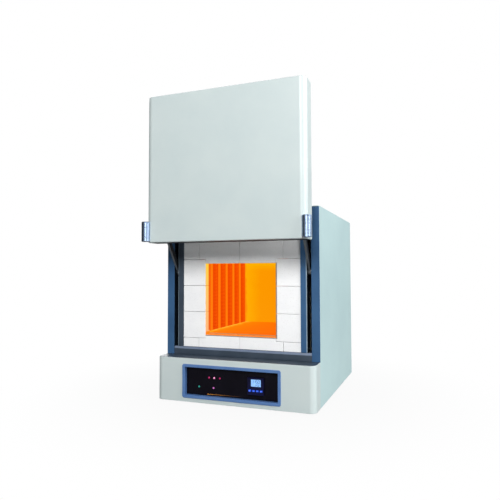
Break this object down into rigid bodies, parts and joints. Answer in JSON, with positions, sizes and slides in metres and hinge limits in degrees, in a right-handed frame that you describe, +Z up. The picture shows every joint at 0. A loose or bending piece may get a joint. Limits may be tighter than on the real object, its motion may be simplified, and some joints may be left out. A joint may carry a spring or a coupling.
{
  "type": "chamber kiln",
  "caption": "Bench-top electric chamber kiln with a raised parallel-guided lift door, white brick front, glowing heated chamber and a control panel in its base.",
  "frame": {"origin": "on the bench, under the middle of the outline with the door raised", "axes": "+X to the right seen from the front, +Y towards the back, +Z up"},
  "size_m": [0.506, 0.684, 0.901],
  "materials": {
    "light_paint": "satin",
    "blue_paint": "satin",
    "slate_paint": "satin",
    "galvanised_sheet": "matte",
    "arm_steel": "satin",
    "grip_aluminium": "satin",
    "heat_sink_aluminium": "satin",
    "white_brick": "matte",
    "tube_ceramic": "matte",
    "hot_brick": "matte",
    "hearth_ceramic": "matte",
    "heater_wire": "matte",
    "ceramic_fibre": "matte",
    "bezel_blue": "satin",
    "panel_black": "gloss",
    "instrument_case": "satin",
    "display_window": "gloss",
    "blue_key": "satin",
    "lamp_lens": "gloss",
    "rubber_black": "matte",
    "inlet_plastic": "matte"
  },
  "bodies": {
    "cabinet": {"backup_insulation": "ceramic_fibre", "base_front_cover": "light_paint", "base_pan": "galvanised_sheet", "base_top_plate": "slate_paint", "chamber_back": "hot_brick", "chamber_roof": "hot_brick", "control_plate": "panel_black", "controller_body": "instrument_case", "controller_display": "display_window", "flue_tube": "tube_ceramic", "foot_front_left": "rubber_black", "foot_front_right": "rubber_black", "foot_rear_left": "rubber_black", "foot_rear_right": "rubber_black", "front_brick_left_1": "white_brick", "front_brick_left_2": "white_brick", "front_brick_left_3": "white_brick", "front_brick_right_1": "white_brick", "front_brick_right_2": "white_brick", "front_brick_right_3": "white_brick", "front_course_bottom": "white_brick", "front_course_top": "white_brick", "head_rail": "blue_paint", "hearth_block": "hot_brick", "hearth_plate": "hearth_ceramic", "heater_left": "heater_wire", "heater_right": "heater_wire", "heater_wall_left": "hot_brick", "heater_wall_right": "hot_brick", "indicator_board": "lamp_lens", "inner_post_left": "blue_paint", "inner_post_right": "blue_paint", "mains_inlet": "inlet_plastic", "outer_post_left": "blue_paint", "outer_post_right": "blue_paint", "panel_bezel": "bezel_blue", "power_controller": "heat_sink_aluminium", "rear_panel": "light_paint", "side_panel_left": "light_paint", "side_panel_right": "light_paint", "sill_rail": "slate_paint", "thermocouple": "tube_ceramic", "top_panel": "light_paint"},
    "lift_linkage": {"cross_shaft": "arm_steel", "upper_arm_left": "arm_steel", "upper_arm_right": "arm_steel"},
    "door": {"door_shell": "light_paint", "door_liner": "galvanised_sheet", "door_insulation": "ceramic_fibre", "door_seal": "ceramic_fibre", "door_bracket_left": "galvanised_sheet", "door_bracket_right": "galvanised_sheet", "door_grip_left": "grip_aluminium", "door_grip_right": "grip_aluminium"},
    "left_guide_arm": {"lower_arm_left": "arm_steel"},
    "right_guide_arm": {"lower_arm_right": "arm_steel"},
    "button_1": {"controller_button_1": "blue_key"},
    "button_2": {"controller_button_2": "blue_key"},
    "button_3": {"controller_button_3": "blue_key"},
    "button_4": {"controller_button_4": "blue_key"}
  },
  "joints": [
    {"name": "door_lift", "type": "hinge", "parent": "cabinet", "child": "lift_linkage", "pos_m": [0, -0.1787, 0.501], "axis": [1, 0, 0], "range_deg": [0, 133.1]},
    {"name": "door_level", "type": "hinge", "parent": "lift_linkage", "child": "door", "pos_m": [0, -0.2873, 0.6535], "axis": [1, 0, 0], "range_deg": [-134, 1]},
    {"name": "left_arm_swing", "type": "hinge", "parent": "cabinet", "child": "left_guide_arm", "pos_m": [-0.2125, -0.1787, 0.386], "axis": [1, 0, 0], "range_deg": [-1, 134]},
    {"name": "right_arm_swing", "type": "hinge", "parent": "cabinet", "child": "right_guide_arm", "pos_m": [0.2125, -0.1787, 0.386], "axis": [1, 0, 0], "range_deg": [-1, 134]},
    {"name": "button_1_press", "type": "slide", "parent": "cabinet", "child": "button_1", "axis": [0, 1, 0], "range_m": [0, 0.001], "stiffness_N_per_m": 250},
    {"name": "button_2_press", "type": "slide", "parent": "cabinet", "child": "button_2", "axis": [0, 1, 0], "range_m": [0, 0.001], "stiffness_N_per_m": 250},
    {"name": "button_3_press", "type": "slide", "parent": "cabinet", "child": "button_3", "axis": [0, 1, 0], "range_m": [0, 0.001], "stiffness_N_per_m": 250},
    {"name": "button_4_press", "type": "slide", "parent": "cabinet", "child": "button_4", "axis": [0, 1, 0], "range_m": [0, 0.001], "stiffness_N_per_m": 250}
  ],
  "couplings": [
    {"joint": "door_level", "follows": "door_lift", "ratio": -1},
    {"joint": "left_arm_swing", "follows": "door_lift", "ratio": 1},
    {"joint": "right_arm_swing", "follows": "door_lift", "ratio": 1}
  ]
}
